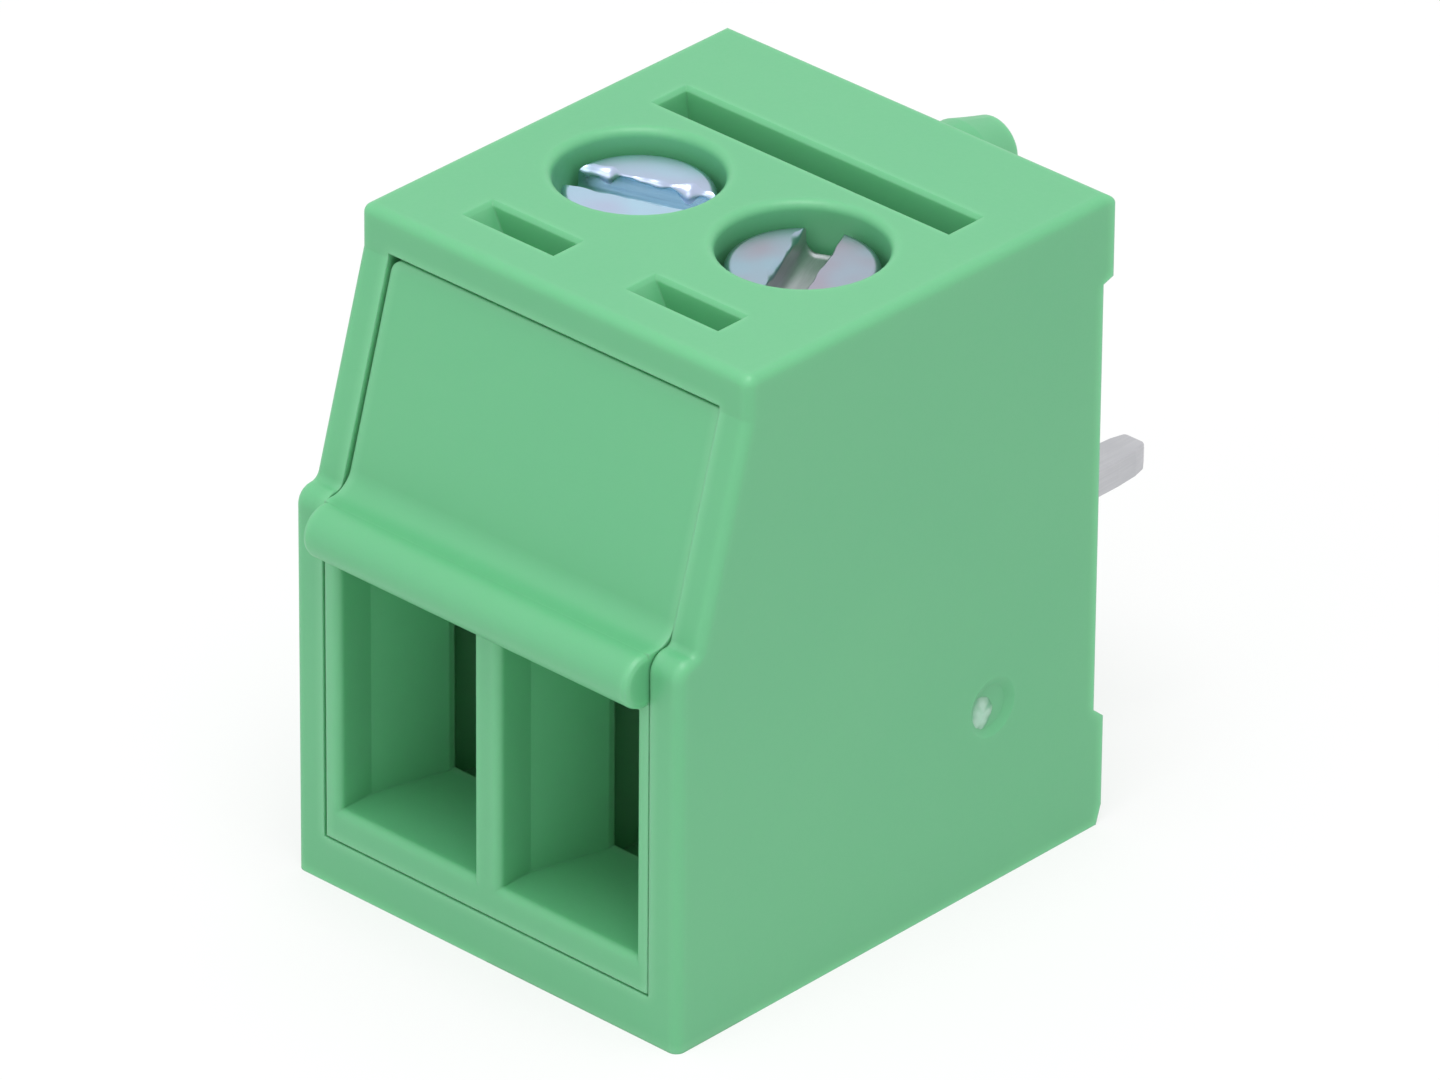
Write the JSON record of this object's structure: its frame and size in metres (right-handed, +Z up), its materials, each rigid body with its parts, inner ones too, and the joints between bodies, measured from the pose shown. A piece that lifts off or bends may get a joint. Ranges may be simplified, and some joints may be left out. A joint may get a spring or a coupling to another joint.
{
  "type": "pcb terminal block",
  "caption": "Block-shaped screw terminal for circuit boards, wire entries at the front, slotted clamp screws on top, solder pins and a locating peg at the back.",
  "frame": {"origin": "middle of the flat bottom face of the housing", "axes": "+Z up, from the bottom to the screw heads; +Y from the wire entries to the circuit board; X along the row of poles"},
  "size_m": [0.009, 0.0151, 0.0125],
  "materials": {
    "green_moulding": "fine moulded satin",
    "zinc_steel": "zinc plated, clear bluish passivation",
    "nickel_brass": "nickel plated",
    "tinned_bronze": "matt tin plated"
  },
  "bodies": {
    "block": {"housing": "green_moulding", "front_insert": "green_moulding", "contact_1": "tinned_bronze", "contact_2": "tinned_bronze"},
    "screw_1": {"screw_1": "zinc_steel"},
    "cage_1": {"cage_1": "nickel_brass"},
    "screw_2": {"screw_2": "zinc_steel"},
    "cage_2": {"cage_2": "nickel_brass"}
  },
  "joints": [
    {"name": "screw_1_turn", "type": "hinge", "parent": "block", "child": "screw_1", "pos_m": [-0.00191, 0.00045, 0.0108], "axis": [0, 0, 1], "range_deg": [-2610, 0]},
    {"name": "cage_1_lift", "type": "slide", "parent": "block", "child": "cage_1", "axis": [0, 0, 1], "range_m": [0, 0.0029]},
    {"name": "screw_2_turn", "type": "hinge", "parent": "block", "child": "screw_2", "pos_m": [0.00191, 0.00045, 0.0108], "axis": [0, 0, 1], "range_deg": [-2610, 0]},
    {"name": "cage_2_lift", "type": "slide", "parent": "block", "child": "cage_2", "axis": [0, 0, 1], "range_m": [0, 0.0029]}
  ],
  "couplings": [
    {"joint": "screw_1_turn", "follows": "cage_1_lift", "rad_per_m": -15708},
    {"joint": "screw_2_turn", "follows": "cage_2_lift", "rad_per_m": -15708}
  ]
}
